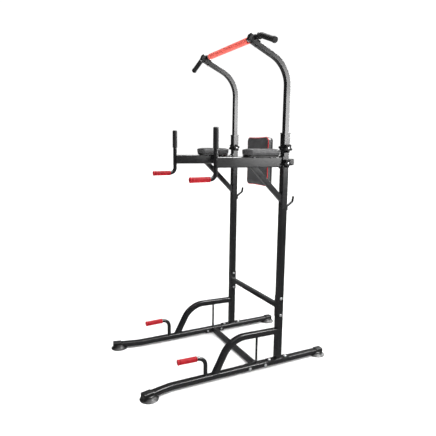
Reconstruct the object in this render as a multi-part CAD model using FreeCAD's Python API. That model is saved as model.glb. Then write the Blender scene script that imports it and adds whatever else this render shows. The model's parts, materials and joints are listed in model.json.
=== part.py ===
import FreeCAD, Part
import math
import os

# Power tower. Millimetres, +Z up, the person using it faces -Y, so +X is their left.
# All lengths below measure Y from the plane of the two uprights; save() moves the whole
# tower back by upright_y, which puts the middle of its footprint on the origin.

V = FreeCAD.Vector
upright_y = 276.0

# uprights and telescoping tubes
upright_x = 315.0
upright_size, upright_wall, upright_corner = 40.0, 2.0, 4.0
upright_foot_z, upright_top_z = 44.0, 1467.0
foot_plate_length, foot_plate_thick = 170.0, 4.0
collar_size, collar_lip, collar_sleeve, collar_gap = 47.0, 7.0, 62.0, 0.15
collar_skirt_size, collar_skirt = 44.0, 101.0
upper_size, upper_wall, upper_corner = 30.0, 2.0, 3.0
upper_bottom_z, upper_corner_z, upper_bend = 1180.0, 1856.0, 180.0
upper_slope, upper_reach = 24.4, 268.0

# base runners and feet
runner_x, runner_w, runner_h, runner_z = 313.0, 40.0, 30.0, 25.0
runner_wall, runner_corner, runner_bend = 2.0, 4.0, 220.0
seam_y, splay_y, splay_angle, splay_length = -69.0, -736.5, 12.8, 169.0
runner_rear_y = 350.0
spigot_half, spigot_wall = 85.0, 3.0
boot_tail, boot_skin, boot_crown, boot_end = 13.5, 3.0, 1.5, 7.5
cup_radius, cup_neck, cup_height = 54.0, 28.0, 25.0
front_foot_back, rear_foot_back = 35.0, 27.0

# cross tubes
floor_cross_y, floor_cross_depth = -160.0, 30.0
floor_bolt_y, floor_bolt_z = (-212.0, -99.0), 21.0
flange_thick = 4.0
upright_cross_z, upright_cross_w, upright_cross_h = 392.5, 30.0, 28.0
upright_bolt_z = (338.0, 448.0)
foot_bolt_y = (-60.7, 60.7)

# curved braces and their rods
brace_size, brace_wall, brace_bend = 35.0, 2.0, 160.0
brace_path = ((-468.0, 0.0), (-343.0, 238.5), (-20.0, 232.0))
rod_radius, rod_y = 7.0, -159.0

# handles
tube_radius, tube_wall = 12.5, 2.0
push_up_y, push_up_z, push_up_bend = -511.0, 155.5, 50.0
push_up_grip_y, push_up_turn = (-568.0, -686.0), 2.9
handle_x, handle_y, handle_top_z = 317.0, -460.0, 1489.0
handle_low_z, handle_slope, handle_bend = 1207.6, 0.63, 36.0
front_grip_y = (-497.0, -617.0)
front_grip_radius, push_up_grip_radius, foam_grip_radius, foam_grip_length = 15.5, 16.5, 16.0, 116.0

# arms
arm_x, arm_w, arm_h, arm_z, arm_wall = 315.0, 30.0, 60.0, 1301.0, 2.0
arm_end_y = -456.0
bracket_thick, bracket_w, bracket_h = 5.0, 48.0, 76.0
arm_brace_foot, arm_brace_top = (-214.5, 1271.0), (-20.0, 1082.0)
hook_z, hook_radius = 1008.0, 7.0

# elbow pads
elbow_x, elbow_w, elbow_y = 322.5, 99.0, (-281.0, -58.0)
elbow_plate_z, elbow_board_z, elbow_pad_z, elbow_top_z = 1331.0, 1334.0, 1340.3, 1380.5
elbow_screw_y, elbow_screw_offset = (-223.0, -107.0), 22.0

# backrest
back_half_w, back_z, back_face_y, back_pad_thick = 131.0, (1137.0, 1455.0), -8.0, 40.0
back_board_thick, back_plate_thick = 8.0, 4.0
back_cross_y, back_cross_depth, back_cross_h, back_cross_z = 65.5, 40.0, 40.0, 1300.0
sleeve_outer, sleeve_inner, sleeve_rear_y = 30.0, 26.0, 123.0
slide_size, slide_rear_y = 25.7, 190.0

# pull-up bar
bar_y, bar_z, bar_kink_x, bar_tip_x, bar_tip_z = -231.4, 1981.6, 390.0, 522.0, 1931.4
foam_half, foam_radius, side_grip_x, side_grip_radius = 253.0, 18.5, 372.0, 16.0
clamp_half_w, clamp_ring, clamp_ear, clamp_jaw = 18.0, 18.0, (225.0, 20.0), (297.0, -10.0, 26.0)
clamp_bolt_along = (234.0, 289.0)

# knobs and fasteners
large_knob, small_knob, top_knob, knob_lobes, stud_radius = (26.0, 18.0), (24.0, 12.0), (22.0, 18.0), 5, 5.0
boss_radius, boss_thick, knob_gap = 9.0, 3.0, 0.4
height_knob_z, arm_knob_z, back_knob_y = 1383.0, 1295.0, 103.0
bolt_radius, bolt_hole, head_radius, head_thick = 4.0, 4.25, 7.0, 5.5


def save(name, shape):
    """Write one node, moved to its place in the shared frame."""
    placed = shape.copy()
    placed.translate(V(0, upright_y, 0))
    placed.exportStep("parts/" + name + ".step")


def mirrored(shape):
    return shape.mirror(V(0, 0, 0), V(1, 0, 0))


def save_pair(name, shape):
    """Write the left piece and its mirror image on the right."""
    save(name + "_left", shape)
    save(name + "_right", mirrored(shape))


def box(x, y, z):
    """Box between pairs of limits along each axis."""
    lo = V(min(x), min(y), min(z))
    return Part.makeBox(max(x) - lo.x, max(y) - lo.y, max(z) - lo.z, lo)


def rod(start, end, radius):
    """Solid cylinder between two points."""
    along = end - start
    return Part.makeCylinder(radius, along.Length, start, along)


def cut_all(shape, tools):
    return shape.cut(tools) if tools else shape


def rounded_box(x, y, z, radius, along):
    """Box with the four edges that run along one axis rounded."""
    block = box(x, y, z)
    edges = [e for e in block.Edges if abs(e.tangentAt(e.FirstParameter).dot(along)) > 0.99]
    return block.makeFillet(radius, edges)


def bent_wire(points, radii):
    """Polyline through points, each inner corner turned into an arc of the given radius."""
    edges, here = [], points[0]
    for i in range(1, len(points) - 1):
        a = (points[i] - points[i - 1]).normalize()
        b = (points[i + 1] - points[i]).normalize()
        turn = a.getAngle(b)
        trim = radii[i - 1] * math.tan(turn / 2)
        start, end = points[i] - a * trim, points[i] + b * trim
        inward = (b - a).normalize()
        middle = points[i] + inward * (radii[i - 1] / math.cos(turn / 2) - radii[i - 1])
        edges.append(Part.LineSegment(here, start).toShape())
        edges.append(Part.Arc(start, middle, end).toShape())
        here = end
    edges.append(Part.LineSegment(here, points[-1]).toShape())
    return Part.Wire(edges)


def rectangle_profile(centre, along, side, w, h, corner):
    """Rounded rectangle: w along side, h across it, square to the path."""
    up = along.cross(side).normalize()
    side = side.normalize()
    a, b = w / 2 - corner, h / 2 - corner
    k = corner * (1 - math.sqrt(0.5))

    def at(u, v):
        return centre + side * u + up * v

    edges = []
    for su, sv in ((1, 1), (-1, 1), (-1, -1), (1, -1)):
        first = (at(su * w / 2, sv * b), at(su * a, sv * h / 2))
        if su * sv < 0:
            first = first[::-1]
        middle = at(su * (w / 2 - k), sv * (h / 2 - k))
        edges.append(Part.Arc(first[0], middle, first[1]).toShape())
    joined = []
    for i, edge in enumerate(edges):
        joined.append(edge)
        follow = edges[(i + 1) % 4]
        joined.append(Part.LineSegment(edge.lastVertex().Point, follow.firstVertex().Point).toShape())
    return Part.Wire(joined)


def sweep(path, profile):
    return path.makePipeShell([profile], True, False)


def square_tube(points, radii, side, w, h, wall, corner):
    """Hollow rectangular tube bent along a path that lies in one plane."""
    path = bent_wire(points, radii)
    along = points[1] - points[0]
    outer = sweep(path, rectangle_profile(points[0], along, side, w, h, corner))
    inner = sweep(path, rectangle_profile(points[0], along, side, w - 2 * wall, h - 2 * wall,
                                          max(corner - wall, 0.8)))
    return outer.cut(inner)


def round_sweep(points, radii, radius):
    circle = Part.Circle(points[0], points[1] - points[0], radius).toShape()
    return sweep(bent_wire(points, radii), Part.Wire([circle]))


def round_tube(points, radii, radius, wall):
    return round_sweep(points, radii, radius).cut(round_sweep(points, radii, radius - wall))


def hexagon(centre, along, flat, thick):
    """Hexagonal head or nut."""
    turn = FreeCAD.Rotation(V(0, 0, 1), along)
    corners = [centre + turn.multVec(V(math.cos(i * math.pi / 3), math.sin(i * math.pi / 3), 0) * flat)
               for i in range(7)]
    return Part.Face(Part.makePolygon(corners)).extrude(along * thick)


def bolt(start, end, nut):
    """Hex bolt whose head sits at start and whose thread leaves at end, with its nut."""
    along = (end - start).normalize()
    solids = [hexagon(start - along * head_thick, along, head_radius, head_thick)]
    tail = end + along * (head_thick + 2 if nut else 0)
    shank = rod(start - along * 0.01, tail, bolt_radius)
    solids[0] = solids[0].fuse(shank).removeSplitter()
    if nut:
        solids.append(hexagon(end, along, head_radius, head_thick)
                      .cut(rod(end - along, tail + along, bolt_radius)))
    return solids


def star_outline(radius):
    """Closed outline of a knob: hub arcs with a round lobe between each pair."""
    hub, lobe = radius * 0.67, 7.5
    seat = radius - lobe
    spread = math.acos((seat ** 2 + hub ** 2 - lobe ** 2) / (2 * seat * hub))
    step = 2 * math.pi / knob_lobes

    def at(angle, distance):
        return V(math.cos(angle), math.sin(angle), 0) * distance

    edges = []
    for i in range(knob_lobes):
        a = i * step
        edges.append(Part.Arc(at(a - spread, hub), at(a, radius), at(a + spread, hub)).toShape())
        edges.append(Part.Arc(at(a + spread, hub), at(a + step / 2, hub),
                              at(a + step - spread, hub)).toShape())
    return Part.Wire(edges)


def star_knob(face, along, stud, size):
    """Lobed knob standing off a face, with a stud running back into it and a dish for its insert."""
    radius, thick = size
    body = Part.Face(star_outline(radius)).extrude(V(0, 0, thick - 4))
    body.translate(V(0, 0, 4))
    body = body.makeFillet(1.5, [e for e in body.Edges if e.BoundBox.ZMin > thick - 0.01])
    body = body.fuse(Part.makeCylinder(radius * 0.6, 5))
    body = body.cut(Part.makeCylinder(6.5, 2, V(0, 0, thick - 1.5)))
    body = body.fuse(rod(V(0, 0, 0), V(0, 0, -stud - knob_gap), stud_radius)).removeSplitter()
    turn = FreeCAD.Rotation(V(0, 0, 1), along)
    body.Placement = FreeCAD.Placement(face + along * knob_gap, turn)
    return body


# ---------------------------------------------------------------- base

def splay_point(distance, z):
    a = math.radians(splay_angle)
    return V(runner_x + distance * math.sin(a), splay_y - distance * math.cos(a), z)


def runner_holes():
    """Bolt holes through one runner: two across it, two down through it."""
    holes = [rod(V(270, y, floor_bolt_z), V(345, y, floor_bolt_z), bolt_hole) for y in floor_bolt_y]
    holes += [rod(V(upright_x, y, 0), V(upright_x, y, 50), bolt_hole) for y in foot_bolt_y]
    return holes


def front_base_tube():
    tube = square_tube([V(runner_x, seam_y, runner_z), V(runner_x, splay_y, runner_z),
                        splay_point(splay_length, runner_z)], [runner_bend], V(0, 0, 1),
                       runner_h, runner_w, runner_wall, runner_corner)
    return cut_all(tube, runner_holes())


def rear_base_tube():
    tube = square_tube([V(runner_x, seam_y + 0.6, runner_z), V(runner_x, runner_rear_y, runner_z)],
                       [], V(0, 0, 1), runner_h, runner_w, runner_wall, runner_corner)
    return cut_all(tube, runner_holes())


def base_spigot():
    """Inner sleeve that joins the two halves of a runner."""
    w, h = runner_w - 2 * runner_wall - 0.3, runner_h - 2 * runner_wall - 0.3
    tube = square_tube([V(runner_x, seam_y - spigot_half, runner_z),
                        V(runner_x, seam_y + spigot_half, runner_z)],
                       [], V(0, 0, 1), h, w, spigot_wall, 1.8)
    return cut_all(tube, runner_holes())


def foot(centre, along, foot_back):
    """Rubber boot over a runner's end with a suction cup moulded under it."""
    side = V(0, 0, 1)
    reach = foot_back + boot_end
    boot_length = reach + boot_tail
    end = centre + along * reach
    lift = V(0, 0, boot_crown / 2)
    outer = sweep(bent_wire([end - along * boot_length + lift, end + lift], []),
                  rectangle_profile(end - along * boot_length + lift, along, side,
                                    runner_h + 2 * boot_skin + boot_crown, runner_w + 2 * boot_skin, 6.0))
    rim = [e for e in outer.Edges if abs((e.CenterOfMass - end).dot(along)) < 0.01]
    outer = outer.makeFillet(4.0, rim)
    profile = [(0, 5), (30, 4.5), (48, 0), (cup_radius, 0), (cup_radius, 2.2), (cup_radius - 3, 4.2),
               (42, 9), (34, 16), (cup_neck + 1, cup_height - 2), (cup_neck - 2, cup_height), (0, cup_height)]
    points = [V(r, 0, z) for r, z in profile]
    cup = Part.Face(Part.makePolygon(points + points[:1])).revolve(V(0, 0, 0), V(0, 0, 1), 360)
    cup.translate(V(centre.x, centre.y, 0))
    pocket_end = end - along * boot_end
    pocket = sweep(bent_wire([end - along * (boot_length + 40), pocket_end], []),
                   rectangle_profile(end - along * (boot_length + 40), along, side,
                                     runner_h, runner_w, runner_corner))
    return outer.fuse(cup).cut(pocket)


def front_foot():
    a = math.radians(splay_angle)
    return foot(splay_point(splay_length - front_foot_back, runner_z),
                V(math.sin(a), -math.cos(a), 0), front_foot_back)


def rear_foot():
    return foot(V(runner_x, runner_rear_y - rear_foot_back, runner_z), V(0, 1, 0), rear_foot_back)


def floor_cross_tube():
    inner = runner_x - runner_w / 2
    plate = inner - flange_thick
    tube = square_tube([V(-plate, floor_cross_y, runner_z), V(plate, floor_cross_y, runner_z)],
                       [], V(0, 0, 1), runner_h, floor_cross_depth, 2.0, 3.0)
    for s in (1, -1):
        flange = rounded_box((s * plate, s * inner), (-232.0, -79.0), (7.0, 39.0), 6.0, V(1, 0, 0))
        tube = tube.fuse(flange)
    holes = runner_holes()[:2]
    return tube.removeSplitter().cut(holes + [mirrored(h) for h in holes])


# ---------------------------------------------------------------- uprights

def upright():
    """Lower post with its foot plate and the screw bosses of its knobs."""
    post = square_tube([V(upright_x, 0, upright_foot_z), V(upright_x, 0, upright_top_z)], [],
                       V(1, 0, 0), upright_size, upright_size, upright_wall, upright_corner)
    half = upright_size / 2
    plate = rounded_box((upright_x - half, upright_x + half),
                        (-foot_plate_length / 2, foot_plate_length / 2),
                        (upright_foot_z - foot_plate_thick, upright_foot_z), 8.0, V(0, 0, 1))
    post = post.fuse(plate)
    tools = [rod(V(280, 0, z), V(350, 0, z), bolt_hole) for z in upright_bolt_z]
    tools += [rod(V(upright_x, y, 30), V(upright_x, y, 60), bolt_hole) for y in foot_bolt_y]
    for s in (-1, 1):
        face = V(upright_x + s * half, 0, height_knob_z)
        post = post.fuse(rod(face, face + V(s * boss_thick, 0, 0), boss_radius))
        tools.append(rod(face - V(s * 10, 0, 0), face + V(s * 10, 0, 0), stud_radius + 0.05))
    outer = V(upright_x + half, 0, arm_knob_z)
    tools.append(rod(outer - V(10, 0, 0), outer + V(10, 0, 0), stud_radius + 0.05))
    for z in flange_bolt_z():
        tools.append(rod(V(290, 0, z), V(300, 0, z), bolt_hole))
    return post.removeSplitter().cut(tools)


def collar():
    """Plastic bush that guides the inner tube at the mouth of the post, with a skirt outside."""
    top = upright_top_z + collar_lip
    inner = upper_size + 2 * collar_gap
    lip = square_tube([V(upright_x, 0, upright_top_z), V(upright_x, 0, top)], [], V(1, 0, 0),
                      collar_size, collar_size, (collar_size - inner) / 2, 5.0)
    size = upright_size - 2 * upright_wall - 0.1
    sleeve = square_tube([V(upright_x, 0, upright_top_z - collar_sleeve), V(upright_x, 0, top)], [],
                         V(1, 0, 0), size, size, (size - inner) / 2, 1.9)
    wall = (collar_skirt_size - upright_size - 0.1) / 2
    skirt = square_tube([V(upright_x, 0, upright_top_z - collar_skirt), V(upright_x, 0, top)], [],
                        V(1, 0, 0), collar_skirt_size, collar_skirt_size, wall, 5.0)
    skirt = skirt.cut(rod(V(250, 0, height_knob_z), V(380, 0, height_knob_z), boss_radius + 0.05))
    return lip.fuse([sleeve, skirt]).removeSplitter()


def upright_cross_tube():
    inner = upright_x - upright_size / 2
    plate = inner - flange_thick
    tube = square_tube([V(-plate, 0, upright_cross_z), V(plate, 0, upright_cross_z)], [],
                       V(0, 0, 1), upright_cross_h, upright_cross_w, 2.0, 3.0)
    for s in (1, -1):
        flange = rounded_box((s * plate, s * inner), (-19.0, 19.0), (322.0, 464.0), 6.0, V(1, 0, 0))
        tube = tube.fuse(flange)
    holes = [rod(V(280, 0, z), V(350, 0, z), bolt_hole) for z in upright_bolt_z]
    return tube.removeSplitter().cut(holes + [mirrored(h) for h in holes])


def curved_brace():
    """Bent tube from the runner to the post, with the thin rod that stiffens it."""
    x = (runner_x + upright_x) / 2
    points = [V(x, y, z) for y, z in brace_path]
    tube = square_tube(points, [brace_bend], V(1, 0, 0), brace_size, brace_size, brace_wall, 4.0)
    runner_top = runner_z + runner_h / 2
    tube = tube.cut([box((x - 50, x + 50), (-600, -300), (-50, runner_top)),
                     box((x - 50, x + 50), (-upright_size / 2, 20), (150, 300))])
    solid = sweep(bent_wire(points, [brace_bend]),
                  rectangle_profile(points[0], points[1] - points[0], V(1, 0, 0),
                                    brace_size, brace_size, 4.0))
    stiffener = rod(V(x, rod_y, runner_top), V(x, rod_y, 236), rod_radius).cut(solid)
    return tube.fuse(stiffener).removeSplitter()


def hook():
    """Rear peg for a resistance band: small plate and a bent round rod."""
    rear = upright_size / 2
    plate = rounded_box((upright_x - 9, upright_x + 9), (rear, rear + 3), (hook_z - 4, hook_z + 34),
                        3.0, V(0, 1, 0))
    y = rear + 3 + hook_radius - 0.5
    peg = round_sweep([V(upright_x, y, hook_z), V(upright_x, y, hook_z + 24),
                       V(upright_x, 71, hook_z + 52), V(upright_x, 76, hook_z + 85)],
                      [10.0, 12.0], hook_radius)
    return plate.fuse(peg).removeSplitter()


# ---------------------------------------------------------------- hand grips on the base

def push_up_point(y):
    """Point on the grip's axis, which turns a little towards the middle of the frame."""
    return V(runner_x - (push_up_y - y) * math.tan(math.radians(push_up_turn)), y, push_up_z)


def push_up_handle():
    return round_tube([V(runner_x, push_up_y, runner_z + runner_h / 2), push_up_point(push_up_y),
                       push_up_point(push_up_grip_y[1] + 4)], [push_up_bend], tube_radius, tube_wall)


def grip_sleeve(start, end, radius, closed_end):
    """Rubber sleeve over a tube: raised ring at each end and a closed tip."""
    along = (end - start).normalize()
    body = rod(start, end, radius)
    body = body.fuse(rod(start, start + along * 4, radius + 0.8))
    body = body.fuse(rod(end - along * 7, end, radius + 0.8)).removeSplitter()
    rim = [e for e in body.Edges if abs((e.CenterOfMass - end).dot(along)) < 0.01]
    body = body.makeFillet(2.5, rim)
    return body.cut(rod(start - along, end - along * closed_end, tube_radius))


def push_up_grip():
    a = math.radians(push_up_turn)
    return grip_sleeve(push_up_point(push_up_grip_y[0]), push_up_point(push_up_grip_y[1]),
                       push_up_grip_radius, 4.0 / math.cos(a))


# ---------------------------------------------------------------- arms

def arm():
    """Rectangular tube with the bracket that hugs the post, coped round the dip handle."""
    front = -upright_size / 2
    tube = square_tube([V(arm_x, front - bracket_thick, arm_z), V(arm_x, arm_end_y, arm_z)], [],
                       V(0, 0, 1), arm_h, arm_w, arm_wall, 5.0)
    plate = rounded_box((upright_x - bracket_w / 2, upright_x + bracket_w / 2),
                        (front - bracket_thick, front),
                        (arm_z - bracket_h / 2, arm_z + bracket_h / 2), 6.0, V(0, 1, 0))
    outer = upright_x + upright_size / 2
    cheek = rounded_box((outer, outer + 4), (front - 0.5, 14), (arm_z - 30, arm_z + 20), 5.0, V(1, 0, 0))
    pad_plate = rounded_box((arm_x - 32, arm_x + 32), (-270.0, -68.0),
                            (elbow_plate_z, elbow_board_z), 6.0, V(0, 0, 1))
    shape = tube.fuse([plate, cheek, pad_plate]).removeSplitter()
    tools = [rod(V(handle_x, handle_y, arm_z - 60), V(handle_x, handle_y, arm_z + 60), tube_radius),
             rod(V(outer - 5, 0, arm_knob_z), V(outer + 10, 0, arm_knob_z), stud_radius + 0.05)]
    tools += [rod(V(x, y, 1320), V(x, y, 1338), 2.6) for x, y in elbow_screws()]
    return shape.cut(tools)


def arm_brace():
    (y0, z0), (y1, z1) = arm_brace_foot, arm_brace_top
    run = V(0, y1 - y0, z1 - z0).normalize()
    start, end = V(arm_x, y0, z0) - run * 60, V(arm_x, y1, z1) + run * 60
    tube = square_tube([start, end], [], V(1, 0, 0), 30.0, 30.0, 2.0, 3.0)
    keep = box((arm_x - 50, arm_x + 50), (-400, -upright_size / 2), (900, arm_z - arm_h / 2))
    return tube.common(keep)


def dip_handle():
    a = math.radians(handle_slope)
    tip = front_grip_y[1] + 4
    return round_tube([V(handle_x, handle_y, handle_top_z), V(handle_x, handle_y, handle_low_z),
                       V(handle_x, tip, handle_low_z - (handle_y - tip) * math.tan(a))],
                      [handle_bend], tube_radius, tube_wall)


def dip_front_grip():
    a = math.radians(handle_slope)
    ends = [V(handle_x, y, handle_low_z - (handle_y - y) * math.tan(a)) for y in front_grip_y]
    return grip_sleeve(ends[0], ends[1], front_grip_radius, 4.0 / math.cos(a))


def foam_sleeve(start, end, radius, closed_end):
    along = (end - start).normalize()
    body = rod(start, end, radius)
    rims = [e for e in body.Edges if e.Length > 60 and e.Closed
            and abs((e.CenterOfMass - end).dot(along)) < 0.01]
    body = body.makeFillet(4.0, rims)
    return body.cut(rod(start - along, end - along * closed_end, tube_radius))


def dip_grip():
    top = handle_top_z + 5
    return foam_sleeve(V(handle_x, handle_y, top - foam_grip_length), V(handle_x, handle_y, top),
                       foam_grip_radius, 5.0)


# ---------------------------------------------------------------- elbow pads

def elbow_screws():
    return [(arm_x + s * elbow_screw_offset, y) for s in (-1, 1) for y in elbow_screw_y]


def elbow_board():
    inset = 6.0
    board = rounded_box((elbow_x - elbow_w / 2 + inset, elbow_x + elbow_w / 2 - inset),
                        (elbow_y[0] + inset, elbow_y[1] - inset), (elbow_board_z, elbow_pad_z),
                        14.0, V(0, 0, 1))
    return board.cut([rod(V(x, y, 1320), V(x, y, elbow_pad_z - 1), 2.6) for x, y in elbow_screws()])


def elbow_pad():
    pad = rounded_box((elbow_x - elbow_w / 2, elbow_x + elbow_w / 2), elbow_y,
                      (elbow_pad_z, elbow_top_z), 18.0, V(0, 0, 1))
    rim = [e for e in pad.Edges if e.BoundBox.ZMin > elbow_top_z - 0.01]
    return pad.makeFillet(9.0, rim)


def pad_screws():
    """Round-head screws up through the arm plates into the elbow boards."""
    solids = []
    for x, y in elbow_screws():
        shank = rod(V(x, y, elbow_plate_z), V(x, y, elbow_pad_z - 1.5), 2.4)
        head = rod(V(x, y, elbow_plate_z - 4), V(x, y, elbow_plate_z), 5.0)
        rim = [e for e in head.Edges if e.BoundBox.ZMax < elbow_plate_z - 3.9]
        solids.append(head.makeFillet(2.0, rim).fuse(shank).removeSplitter())
    return Part.makeCompound(solids + [mirrored(s) for s in solids])


# ---------------------------------------------------------------- backrest

def flange_bolt_z():
    return (back_cross_z - 11, back_cross_z + 11)


def backrest_cross_tube():
    """Tube behind the posts, its end plates, and the sleeve the backrest slides in."""
    inner = upright_x - upright_size / 2
    plate = inner - flange_thick
    tube = square_tube([V(-plate, back_cross_y, back_cross_z), V(plate, back_cross_y, back_cross_z)],
                       [], V(0, 0, 1), back_cross_h, back_cross_depth, 2.0, 4.0)
    rear = back_cross_y + back_cross_depth / 2
    half = back_cross_h / 2
    for s in (1, -1):
        flange = rounded_box((s * plate, s * inner), (-19.0, rear),
                             (back_cross_z - half, back_cross_z + half), 5.0, V(1, 0, 0))
        tube = tube.fuse(flange)
    front = back_cross_y - back_cross_depth / 2
    so, si = sleeve_outer / 2, sleeve_inner / 2
    tube = tube.fuse(rounded_box((-so, so), (front, sleeve_rear_y), (back_cross_z - so, back_cross_z + so),
                                 2.0, V(0, 1, 0)))
    seat = V(0, back_knob_y, back_cross_z + so)
    tube = tube.fuse(rod(seat, seat + V(0, 0, boss_thick), boss_radius)).removeSplitter()
    tools = [box((-si, si), (front - 5, sleeve_rear_y + 5), (back_cross_z - si, back_cross_z + si)),
             rod(seat - V(0, 0, 5), seat + V(0, 0, 10), stud_radius + 0.05)]
    holes = [rod(V(280, 0, z), V(300, 0, z), bolt_hole) for z in flange_bolt_z()]
    return tube.cut(tools + holes + [mirrored(h) for h in holes])


def backrest_slide_tube():
    """Square tube that slides in the sleeve, with the plate that carries the board."""
    plate_y = back_face_y + back_pad_thick + back_board_thick
    plate = rounded_box((-70.0, 70.0), (plate_y, plate_y + back_plate_thick), (1261.0, 1341.0),
                        8.0, V(0, 1, 0))
    start = plate_y + back_plate_thick
    tube = square_tube([V(0, start, back_cross_z), V(0, slide_rear_y, back_cross_z)], [], V(0, 0, 1),
                       slide_size, slide_size, 2.0, 2.5)
    half = slide_size / 2
    plug = rounded_box((-half, half), (slide_rear_y, slide_rear_y + 4),
                       (back_cross_z - half, back_cross_z + half), 2.5, V(0, 1, 0))
    return tube.fuse([plate, plug]).removeSplitter()


def backrest_board():
    inset = 7.0
    y = back_face_y + back_pad_thick
    return rounded_box((-back_half_w + inset, back_half_w - inset), (y, y + back_board_thick),
                       (back_z[0] + inset, back_z[1] - inset), 16.0, V(0, 1, 0))


def backrest_pad():
    pad = rounded_box((-back_half_w, back_half_w), (back_face_y, back_face_y + back_pad_thick),
                      back_z, 20.0, V(0, 1, 0))
    rim = [e for e in pad.Edges if e.BoundBox.YMax < back_face_y + 0.01]
    return pad.makeFillet(6.0, rim)


# ---------------------------------------------------------------- pull-up section

def slope_point(along, across, x):
    """Point in the frame of the sloping end of an upper tube."""
    a = math.radians(upper_slope)
    return V(x, -along * math.cos(a) + across * math.sin(a),
             upper_corner_z + along * math.sin(a) + across * math.cos(a))


def slope_block(along, across):
    """Block as wide as a clamp, between limits along and across the sloping tube, edges rounded."""
    corners = [slope_point(a, c, upright_x - clamp_half_w)
               for a, c in ((along[0], across[0]), (along[1], across[0]), (along[1], across[1]),
                            (along[0], across[1]), (along[0], across[0]))]
    block = Part.Face(Part.makePolygon(corners)).extrude(V(2 * clamp_half_w, 0, 0))
    return block.makeFillet(2.0, block.Edges)


def upper_tube():
    tube = square_tube([V(upright_x, 0, upper_bottom_z), V(upright_x, 0, upper_corner_z),
                        slope_point(upper_reach, 0, upright_x)], [upper_bend], V(1, 0, 0),
                       upper_size, upper_size, upper_wall, upper_corner)
    along = clamp_bolt_along[0]
    return tube.cut([rod(slope_point(along, -40, upright_x), slope_point(along, 40, upright_x), bolt_hole),
                     rod(V(250, bar_y, bar_z), V(380, bar_y, bar_z), tube_radius)])


def bar_path():
    return [V(-bar_tip_x, bar_y, bar_tip_z), V(-bar_kink_x, bar_y, bar_z),
            V(bar_kink_x, bar_y, bar_z), V(bar_tip_x, bar_y, bar_tip_z)]


def pull_up_bar():
    return round_tube(bar_path(), [40.0, 40.0], tube_radius, tube_wall)


def bar_clamp():
    """Moulded saddle that holds the bar in the notch at the end of an upper tube."""
    half = upper_size / 2
    ear = slope_block((clamp_ear[0], 262.0), (half - 5, clamp_ear[1]))
    jaw = slope_block((258.0, clamp_jaw[0]), clamp_jaw[1:])
    ring = rod(V(upright_x - clamp_half_w, bar_y, bar_z), V(upright_x + clamp_half_w, bar_y, bar_z),
               clamp_ring)
    ring = ring.makeFillet(2.0, [e for e in ring.Edges if e.Closed and e.Length > 100])
    tube_room = sweep(bent_wire([slope_point(150, 0, upright_x), slope_point(upper_reach, 0, upright_x)], []),
                      rectangle_profile(slope_point(150, 0, upright_x),
                                        slope_point(1, 0, 0) - slope_point(0, 0, 0), V(1, 0, 0),
                                        2 * clamp_half_w + 10, upper_size, 0.8))
    near, far = clamp_bolt_along
    tools = [tube_room, rod(V(250, bar_y, bar_z), V(380, bar_y, bar_z), tube_radius)]
    tools += [rod(slope_point(a, -40, upright_x), slope_point(a, 45, upright_x), bolt_hole)
              for a in (near, far)]
    return ring.fuse([ear, jaw]).removeSplitter().cut(tools)


def clamp_bolts():
    near, far = clamp_bolt_along
    solids = bolt(slope_point(near, clamp_ear[1], upright_x), slope_point(near, -upper_size / 2, upright_x), True)
    solids += bolt(slope_point(far, clamp_jaw[2], upright_x), slope_point(far, clamp_jaw[1], upright_x), True)
    return Part.makeCompound(solids + [mirrored(s) for s in solids])


def side_grip():
    tip = V(bar_tip_x, bar_y, bar_tip_z)
    kink = V(bar_kink_x, bar_y, bar_z)
    along = (tip - kink).normalize()
    path = [V(side_grip_x, bar_y, bar_z), kink, tip + along * 5]
    body = round_sweep(path, [40.0], side_grip_radius)
    rim = [e for e in body.Edges if abs((e.CenterOfMass - path[2]).dot(along)) < 0.01]
    body = body.makeFillet(4.0, rim)
    return body.cut(round_sweep([V(side_grip_x - 10, bar_y, bar_z), kink, tip], [40.0], tube_radius))


def pull_up_foam():
    body = rod(V(-foam_half, bar_y, bar_z), V(foam_half, bar_y, bar_z), foam_radius)
    body = body.makeFillet(2.0, [e for e in body.Edges if e.Closed and e.Length > 90])
    return body.cut(rod(V(-300, bar_y, bar_z), V(300, bar_y, bar_z), tube_radius))


# ---------------------------------------------------------------- fasteners and knobs

def base_bolts():
    """Bolts across the runners that hold the floor cross tube."""
    outer, inner = runner_x + runner_w / 2, runner_x - runner_w / 2 - flange_thick
    solids = []
    for y in floor_bolt_y:
        solids += bolt(V(outer, y, floor_bolt_z), V(inner, y, floor_bolt_z), True)
    return Part.makeCompound(solids + [mirrored(s) for s in solids])


def foot_plate_bolts():
    """Bolts down through the foot plates and runners."""
    solids = []
    for y in foot_bolt_y:
        solids += bolt(V(upright_x, y, upright_foot_z), V(upright_x, y, runner_z - runner_h / 2), True)
    clear = box((0, 700), (-200, 200), (-30, 2.5))
    solids = [s.cut(clear) for s in solids]
    return Part.makeCompound(solids + [mirrored(s) for s in solids])


def upright_bolts():
    """Bolts through the posts into the cross tube's end plates, and those of the rear cross tube."""
    outer, inner = upright_x + upright_size / 2, upright_x - upright_size / 2 - flange_thick
    solids = []
    for z in upright_bolt_z:
        solids += bolt(V(outer, 0, z), V(inner, 0, z), True)
    for z in flange_bolt_z():
        solids += bolt(V(inner, 0, z), V(inner + flange_thick + 3.5, 0, z), False)
    return Part.makeCompound(solids + [mirrored(s) for s in solids])


def height_knob(side, size):
    face = V(upright_x + side * (upright_size / 2 + boss_thick), 0, height_knob_z)
    reach = upright_size / 2 + boss_thick - upper_size / 2 - 0.2
    return star_knob(face, V(side, 0, 0), reach, size)


def arm_knob():
    face = V(upright_x + upright_size / 2 + 4, 0, arm_knob_z)
    return star_knob(face, V(1, 0, 0), 4 + upright_wall + 1.5, large_knob)


def backrest_knob():
    face = V(0, back_knob_y, back_cross_z + sleeve_outer / 2 + boss_thick)
    reach = boss_thick + (sleeve_outer - slide_size) / 2 - 0.2
    return star_knob(face, V(0, 0, 1), reach, top_knob)


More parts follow.
